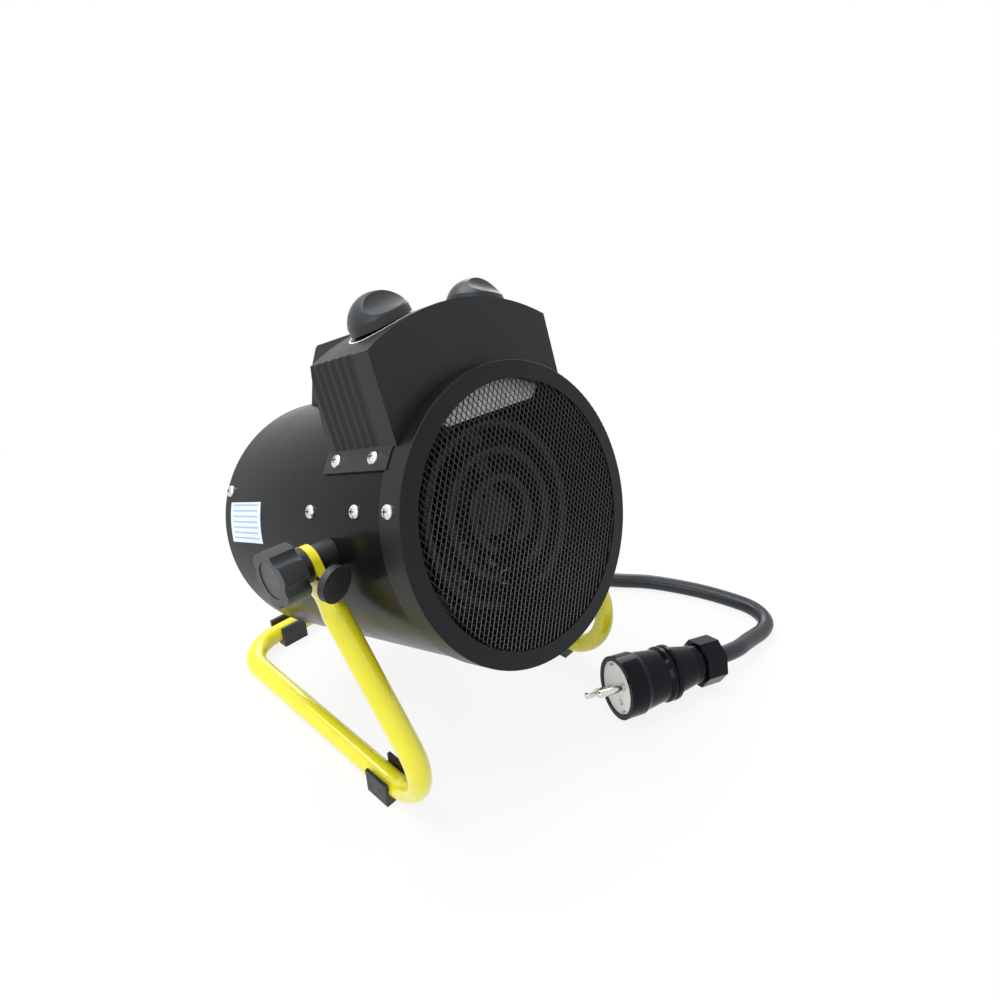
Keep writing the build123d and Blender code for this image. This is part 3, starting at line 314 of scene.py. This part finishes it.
fan_metal = finish("fan_metal", (0.006, 0.006, 0.007), (0.010, 0.010, 0.011), (0.34, 0.44),
                   cloud=0.02, grain=0.0006, relief=0.000006, reflect=0.2)
# Near-black steel is painted shade: it darkens the inner shell, the parts inside the drum and the
# screws' driver recesses.
painted_shade_steel = finish("painted_shade_steel", (0.010, 0.010, 0.011), (0.018, 0.018, 0.020), (0.38, 0.5),
                    cloud=0.01, grain=0.0005, relief=0.000008, reflect=0.25)
insert_plastic = finish("insert_plastic", (0.86, 0.86, 0.86), (0.93, 0.93, 0.93), (0.30, 0.42),
                        cloud=0.01, grain=0.0005, relief=0.000006)
ceramic = finish("ceramic", (0.74, 0.72, 0.67), (0.84, 0.82, 0.77), (0.30, 0.5),
                 cloud=0.004, grain=0.0005, relief=0.00001)
switch_plastic = finish("switch_plastic", (0.03, 0.03, 0.03), (0.05, 0.05, 0.05), (0.4, 0.55),
                        cloud=0.01, grain=0.0005, relief=0.00001)
label_film = finish("label_film", (0.66, 0.76, 0.85), (0.74, 0.82, 0.89), (0.28, 0.36),
                    cloud=0.02, grain=0.001, relief=0.000004)
nickel = finish("nickel", (0.62, 0.60, 0.57), (0.74, 0.72, 0.69), (0.10, 0.20), cloud=0.004,
                grain=0.0005, relief=0.000003, metal=1.0)
core_wire = finish("core_wire", (0.20, 0.07, 0.02), (0.28, 0.11, 0.04), (0.35, 0.5),
                   cloud=0.004, grain=0.0005, relief=0.00001)

# %% [markdown]
# ## Lines on the label
# The real label is a printed film. Plain ruled lines stand for its print. They are drawn by
# the finish itself: the piece's own coordinates are measured along the drum and up it, and
# the blue shows in a band of each step of height, between the label's two margins.

# %% Ruled lines
LABEL_FRONT = 139.5
RULE_PITCH = 3.1
RULE_BAND = (1.0, 1.9)
RULE_SPAN = (3.5, 37.5)
RULE_BLUE = (0.30, 0.42, 0.60, 1)

label_tree = label_film.node_tree
label_where = label_tree.nodes.new("ShaderNodeTexCoord")


def measured(way, start):
    """How far a point of the label lies along a direction, in millimetres."""
    dot = label_tree.nodes.new("ShaderNodeVectorMath")
    dot.operation = "DOT_PRODUCT"
    dot.inputs[1].default_value = way / MM
    link(label_tree, label_where.outputs["Object"], dot.inputs[0])
    shift = label_tree.nodes.new("ShaderNodeMath")
    shift.operation = "SUBTRACT"
    shift.inputs[1].default_value = start + NOSE.dot(way) / MM
    link(label_tree, dot.outputs["Value"], shift.inputs[0])
    return shift.outputs[0]


def within(value, low, high):
    """One between two numbers, else zero."""
    near = label_tree.nodes.new("ShaderNodeMath")
    near.operation = "COMPARE"
    near.inputs[1].default_value = (low + high) / 2
    near.inputs[2].default_value = (high - low) / 2
    link(label_tree, value, near.inputs[0])
    return near.outputs[0]


rows_up = label_tree.nodes.new("ShaderNodeMath")
rows_up.operation = "FLOORED_MODULO"
rows_up.inputs[1].default_value = RULE_PITCH
link(label_tree, measured(ABOVE, 0.0), rows_up.inputs[0])
ruled = label_tree.nodes.new("ShaderNodeMath")
ruled.operation = "MULTIPLY"
link(label_tree, within(rows_up.outputs[0], *RULE_BAND), ruled.inputs[0])
link(label_tree, within(measured(BEHIND, LABEL_FRONT), *RULE_SPAN), ruled.inputs[1])
print_mix = label_tree.nodes.new("ShaderNodeMix")
print_mix.data_type = "RGBA"
label_shader = label_tree.nodes["Principled BSDF"]
link(label_tree, ruled.outputs[0], print_mix.inputs["Factor"])
link(label_tree, label_shader.inputs["Base Color"].links[0].from_socket, print_mix.inputs["A"])
print_mix.inputs["B"].default_value = RULE_BLUE
link(label_tree, print_mix.outputs["Result"], label_shader.inputs["Base Color"])
print("label lines", RULE_PITCH, "mm apart")

# %% [markdown]
# ## Which part wears which finish
# Parts that are made of one material on the real heater share one finish, except the bare steel
# inside the drum, which is near-black as painted shade.

# %% Finishes on the parts
FINISHES = {
    drum_paint: ("drum_shell", "rear_grille"),
    ring_paint: ("front_ring",),
    mesh_paint: ("front_net",),
    box_plastic: ("control_housing", "back_cover", "carry_handle"),
    knob_plastic: ("tilt_knob_left", "tilt_knob_right", "selector_knob", "thermostat_knob",
                   "pivot_spacers"),
    cap_plastic: ("knob_cap_left", "knob_cap_right"),
    yellow_paint: ("stand_frame",),
    clip_rubber: ("foot_clips", "arm_buffer", "cable_sleeve"),
    plug_rubber: ("plug_body", "plug_gland_nut"),
    zinc: ("case_screws", "handle_screws", "pivot_bolts", "pivot_backings", "shell_brackets",
           "motor_studs", "motor_spacers"),
    # The inner shell and the parts inside the drum wear near-black steel as painted shade for the
    # dark inside.
    painted_shade_steel: ("inner_shell", "impeller_nut", "element_spider", "element_plate",
                 "motor_front_frame", "motor_rear_frame"),
    bright_steel: ("fan_shaft", "selector_spindle", "thermostat_spindle", "motor_rotor"),
    element_steel: ("element_inner", "element_middle", "element_outer"),
    core_steel: ("motor_stator",),
    coil_tape: ("motor_coil",),
    brass: ("motor_bearings", "knob_insert_left", "knob_insert_right"),
    fan_metal: ("impeller",),
    insert_plastic: ("plug_insert",),
    ceramic: ("terminal_block", "element_bushes"),
    switch_plastic: ("selector_switch", "thermostat_body", "thermal_cutout"),
    label_film: ("rating_label",),
    nickel: ("plug_pins", "plug_earth_clips"),
    core_wire: ("wiring",),
}
for material, parts in FINISHES.items():
    for part in parts:
        wear(part, material)
cable.data.materials.clear()
cable.data.materials.append(cable_rubber)
print("finished parts", sum(len(parts) for parts in FINISHES.values()))

# %% [markdown]
# ## From bmesh to a finished piece
# New pieces are built around zero with bmesh operators and then put in place by a
# matrix, so that each finished object sits at the origin with its place in its mesh.

# %% A piece from a bmesh
def piece(shape, name, material, body, place=None, smooth=True, sharp=35.0):
    """Makes an object of a bmesh, puts it in place and lets it ride on a body."""
    if place is not None:
        bmesh.ops.transform(shape, matrix=place, verts=shape.verts)
    mesh = bpy.data.meshes.new(name)
    shape.to_mesh(mesh)
    shape.free()
    for face in mesh.polygons:
        face.use_smooth = smooth
    if smooth:
        mesh.set_sharp_from_angle(angle=math.radians(sharp))
    made = bpy.data.objects.new(name, mesh)
    bpy.context.scene.collection.objects.link(made)
    mesh.materials.append(material)
    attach(made, body)
    print(name, "faces", len(mesh.polygons))
    return made


def lathe(profile, steps, closed=False):
    """Spins a line of (radius, height) points about Z. Points on the axis are merged."""
    shape = bmesh.new()
    points = [shape.verts.new((radius * MM, 0, height * MM)) for radius, height in profile]
    pairs = list(zip(points, points[1:])) + ([(points[-1], points[0])] if closed else [])
    edges = [shape.edges.new(pair) for pair in pairs]
    bmesh.ops.spin(shape, geom=points + edges, cent=(0, 0, 0), axis=(0, 0, 1),
                   angle=math.tau, steps=steps, use_merge=True)
    bmesh.ops.remove_doubles(shape, verts=shape.verts, dist=1e-6)
    bmesh.ops.recalc_face_normals(shape, faces=shape.faces)
    return shape


# %% [markdown]
# ## Expanded metal mesh
# The guard in front is expanded steel: a sheet that is slit and stretched, so its long
# diamonds stand upright and every strand is a flat ribbon turned out of the sheet. One
# strand is drawn as a thin box of few faces. It is repeated over the whole round opening,
# leaning left and right in turn, which leaves a diamond between each four.

# %% Front mesh
DIAMOND_WIDE = 3.3
DIAMOND_TALL = 5.4
STRAND_WIDE = 0.46
STRAND_THICK = 0.4
STRAND_TURN = math.radians(34)
STRAND_OVERLAP = 1.04
MESH_RADIUS = 72.5
MESH_DEPTH = 1.55

strands = bmesh.new()
rows = int(MESH_RADIUS / DIAMOND_TALL * 2) + 2
columns = int(MESH_RADIUS / DIAMOND_WIDE) + 2
slant = math.atan2(DIAMOND_WIDE / 2, DIAMOND_TALL / 2)
reach = math.hypot(DIAMOND_WIDE / 2, DIAMOND_TALL / 2)
for row in range(-rows, rows):
    for column in range(-columns, columns):
        for lean in (-1, 1):
            x = (column + 0.5 * (row % 2) + 0.25 * lean) * DIAMOND_WIDE
            y = (row + 0.5) * DIAMOND_TALL / 2
            if math.hypot(x, y) > MESH_RADIUS:
                continue
            made = bmesh.ops.create_cube(strands, size=1.0)
            size = Matrix.Diagonal((STRAND_WIDE, reach * STRAND_OVERLAP, STRAND_THICK, 1))
            ribbon = Matrix.Rotation(STRAND_TURN, 4, "Y") @ size
            turn = Matrix.Rotation(-lean * slant, 4, "Z")
            bmesh.ops.transform(strands, verts=made["verts"],
                                matrix=Matrix.Translation((x, y, 0)) @ turn @ ribbon)
bmesh.ops.scale(strands, vec=(MM, MM, MM), verts=strands.verts)
front_mesh = piece(strands, "front_mesh", mesh_paint, "heater",
                   placing(in_drum(0, MESH_DEPTH, 0), ACROSS, ABOVE), smooth=False)
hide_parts("front_net")

# %% [markdown]
# ## Bright plate behind the mesh
# A flat plate of bare sheet steel closes the top of the duct just behind the mesh and
# keeps the hot air away from the control box. It is a slice of a disc that fits the
# inner shell, cut straight along its lower edge with its two lower corners sloped.

# %% Top plate
PLATE_DEPTH = 9.0
PLATE_RADIUS = 71.5
PLATE_SHEET = 0.6
PLATE_BOTTOM = 55.8
CORNER_REACH = 26.9
CORNER_SLOPE = math.radians(-53.4)

plate = bmesh.new()
bmesh.ops.create_circle(plate, cap_ends=True, segments=128, radius=PLATE_RADIUS * MM)
cuts = [(Vector((0, -1, 0)), -PLATE_BOTTOM)]
cuts += [(Vector((side * math.cos(CORNER_SLOPE), math.sin(CORNER_SLOPE), 0)), -CORNER_REACH)
         for side in (-1, 1)]
for outward, reach in cuts:
    bmesh.ops.bisect_plane(plate, geom=plate.verts[:] + plate.edges[:] + plate.faces[:],
                           dist=1e-7, plane_co=outward * reach * MM, plane_no=outward,
                           clear_outer=True)
sheet = bmesh.ops.extrude_face_region(plate, geom=plate.faces[:])
raised = [part for part in sheet["geom"] if isinstance(part, bmesh.types.BMVert)]
bmesh.ops.translate(plate, vec=(0, 0, -PLATE_SHEET * MM), verts=raised)
bmesh.ops.recalc_face_normals(plate, faces=plate.faces)
piece(plate, "top_plate", shell_steel, "heater",
      placing(in_drum(0, PLATE_DEPTH, 0), ACROSS, ABOVE), smooth=False)

# %% [markdown]
# ## Printed rings
# A thin white line is printed round each control knob on the curved top of the box. It
# stands only a hair above the plastic, so it is a very flat ring that is lathed upright
# and then laid on the crown.

# %% Rings under the control knobs
CROWN_RADIUS = 118.6
CROWN_CENTRE = -5.2
KNOB_DEPTH = 34.0
KNOB_SPREAD = math.radians(15.15)
RING_RADIUS = 17.3
RING_WIDTH = 0.95
RING_THICK = 0.05
RING_RISE = 0.02


def on_crown(side, rise):
    """The matrix of a piece that stands on the crown where a control knob is."""
    outward = ACROSS * side * math.sin(KNOB_SPREAD) + ABOVE * math.cos(KNOB_SPREAD)
    origin = NOSE + BEHIND * KNOB_DEPTH * MM + ABOVE * CROWN_CENTRE * MM
    return placing(origin + outward * (CROWN_RADIUS + rise) * MM, BEHIND.cross(outward), BEHIND)


for side, name in ((-1, "ring_left"), (1, "ring_right")):
    ring = lathe([(RING_RADIUS, 0), (RING_RADIUS + RING_WIDTH, 0),
                  (RING_RADIUS + RING_WIDTH, RING_THICK), (RING_RADIUS, RING_THICK)],
                 96, closed=True)
    for vertex in ring.verts:
        vertex.co.z -= (CROWN_RADIUS - math.sqrt(CROWN_RADIUS**2 - (vertex.co.x / MM) ** 2)) * MM
    piece(ring, name, insert_plastic, "heater", on_crown(side, RING_RISE))

# %% [markdown]
# ## Screw heads
# The case is held by small pan-head screws of bright zinc. Each head is a low dome with a
# driver cross in its top. One head is lathed, and the cross is two near-black bars laid into it
# as painted shade for the shaded recess; both are repeated at each place: on the front ring,
# on the drum, on the box's two feet and near the drum's rear edge. A place is a depth behind
# the nose, an angle up from the drum's side and a distance from its axis, and it stands for
# a screw on the left and one on the right.

# %% Screw heads
DRUM_RADIUS = 79.0
RING_PLATE = 1.0
FOOT_PLATE = 1.55
SIDE_ANGLE = 21.5
FOOT_ANGLE = 39.51
REAR_ANGLE = 30.5
SCREW_PLACES = [(depth, SIDE_ANGLE, DRUM_RADIUS) for depth in (37.7, 80.1)]
SCREW_PLACES += [(8.8, SIDE_ANGLE, DRUM_RADIUS + RING_PLATE), (183.7, REAR_ANGLE, DRUM_RADIUS)]
SCREW_PLACES += [(depth, FOOT_ANGLE, DRUM_RADIUS + FOOT_PLATE) for depth in (26.6, 59.2)]
HEAD_PROFILE = ((3.6, 0), (3.6, 0.7), (3.35, 1.15), (2.8, 1.6), (2.0, 1.95), (1.0, 2.12),
                (0, 2.16))
CROSS_LONG = 3.0
CROSS_WIDE = 0.75
CROSS_DEEP = 0.9
CROSS_MIDDLE = 1.73


def many(shapes, name, material):
    """Repeats small shapes at every screw place and joins them into one piece."""
    joined = bmesh.new()
    for depth, angle, reach in SCREW_PLACES:
        for turn in (math.radians(angle), math.pi - math.radians(angle)):
            outward = ACROSS * math.cos(turn) + ABOVE * math.sin(turn)
            for shape in shapes:
                part_mesh = bpy.data.meshes.new("one")
                shape.to_mesh(part_mesh)
                part_mesh.transform(placing(in_drum(0, depth, 0) + outward * reach * MM,
                                            BEHIND.cross(outward), BEHIND))
                joined.from_mesh(part_mesh)
                bpy.data.meshes.remove(part_mesh)
    return piece(joined, name, material, "heater")


head = lathe(HEAD_PROFILE, 32)
screw_heads = many([head], "screw_heads", zinc)
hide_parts("case_screws")
cross = []
for across, along in ((CROSS_LONG, CROSS_WIDE), (CROSS_WIDE, CROSS_LONG)):
    bar = bmesh.new()
    bmesh.ops.create_cube(bar, size=1.0)
    bmesh.ops.scale(bar, vec=(across * MM, along * MM, CROSS_DEEP * MM), verts=bar.verts)
    bmesh.ops.translate(bar, vec=(0, 0, CROSS_MIDDLE * MM), verts=bar.verts)
    cross.append(bar)
# The crosses are near-black: painted shade for the driver recesses.
many(cross, "screw_cross_shade", painted_shade_steel)

# %% [markdown]
# ## Floor and light
# The photograph is cut out on white. The floor and the world are white for the camera
# and for reflections, and the floor keeps a part of its own shade, so the object's soft
# shadow stays near it. One broad lamp hangs above, one stands behind at the right and a weaker
# one at the left, and the world fills the rest.

# %% White for the eye and for reflections
def seen(tree):
    """One for rays from the camera, from shiny surfaces and through clear ones."""
    rays = tree.nodes.new("ShaderNodeLightPath")
    total = rays.outputs["Is Camera Ray"]
    for kind in ("Is Glossy Ray", "Is Transmission Ray"):
        both = tree.nodes.new("ShaderNodeMath")
        both.operation = "MAXIMUM"
        link(tree, total, both.inputs[0])
        link(tree, rays.outputs[kind], both.inputs[1])
        total = both.outputs[0]
    return total


# %% Floor
FLOOR_RADIUS = 6.0
FLOOR_GREY = 0.86
WHITE_NEAR = 0.86
FADE_FROM = 0.25
FADE_TO = 0.7

floor_mesh = bmesh.new()
bmesh.ops.create_circle(floor_mesh, cap_ends=True, segments=64, radius=FLOOR_RADIUS)
floor_data = bpy.data.meshes.new("floor")
floor_mesh.to_mesh(floor_data)
floor_mesh.free()
floor = bpy.data.objects.new("floor", floor_data)
bpy.context.scene.collection.objects.link(floor)
floor_white = bpy.data.materials.new("floor_white")
floor_white.use_nodes = True
floor_tree = floor_white.node_tree
floor_tree.nodes.clear()
floor_out = floor_tree.nodes.new("ShaderNodeOutputMaterial")
floor_diffuse = floor_tree.nodes.new("ShaderNodeBsdfDiffuse")
floor_diffuse.inputs["Color"].default_value = (FLOOR_GREY, FLOOR_GREY, FLOOR_GREY, 1)
floor_glow = floor_tree.nodes.new("ShaderNodeEmission")
floor_mix = floor_tree.nodes.new("ShaderNodeMixShader")
floor_share = floor_tree.nodes.new("ShaderNodeMath")
floor_share.operation = "MULTIPLY"
link(floor_tree, seen(floor_tree), floor_share.inputs[0])
floor_where = floor_tree.nodes.new("ShaderNodeTexCoord")
floor_far = floor_tree.nodes.new("ShaderNodeVectorMath")
floor_far.operation = "LENGTH"
link(floor_tree, floor_where.outputs["Object"], floor_far.inputs[0])
whiteness = spread(floor_tree, floor_far.outputs["Value"], WHITE_NEAR, 1.0, FADE_FROM, FADE_TO)
link(floor_tree, whiteness, floor_share.inputs[1])
link(floor_tree, floor_share.outputs[0], floor_mix.inputs["Fac"])
link(floor_tree, floor_diffuse.outputs[0], floor_mix.inputs[1])
link(floor_tree, floor_glow.outputs[0], floor_mix.inputs[2])
link(floor_tree, floor_mix.outputs[0], floor_out.inputs["Surface"])
floor_data.materials.append(floor_white)

# %% World
LIGHT_LEVEL = 0.55
SEEN_LEVEL = 1.0

world = bpy.data.worlds.new("studio")
bpy.context.scene.world = world
world.use_nodes = True
world_tree = world.node_tree
backdrop = world_tree.nodes["Background"]
backdrop.inputs["Color"].default_value = (1, 1, 1, 1)
world_level = world_tree.nodes.new("ShaderNodeMapRange")
world_level.inputs["To Min"].default_value = LIGHT_LEVEL
world_level.inputs["To Max"].default_value = SEEN_LEVEL
link(world_tree, seen(world_tree), world_level.inputs["Value"])
link(world_tree, world_level.outputs["Result"], backdrop.inputs["Strength"])

# %% Lamps
def lamp(name, place, aim, size, power):
    """A square soft lamp at a place, facing a point."""
    data = bpy.data.lights.new(name, "AREA")
    data.size = size
    data.energy = power
    made = bpy.data.objects.new(name, data)
    bpy.context.scene.collection.objects.link(made)
    made.location = place
    made.rotation_euler = (Vector(aim) - Vector(place)).to_track_quat("-Z", "Y").to_euler()
    made.visible_camera = False
    print(name, power, "W")


lamp("top_lamp", (-0.25, 0.35, 1.25), (0, 0, 0.1), 1.0, 14.0)
lamp("back_lamp", (1.3, 1.1, 1.0), (0, 0, 0.15), 1.2, 16.0)
lamp("left_lamp", (-1.1, -0.5, 0.7), (0, 0, 0.12), 0.7, 4.0)
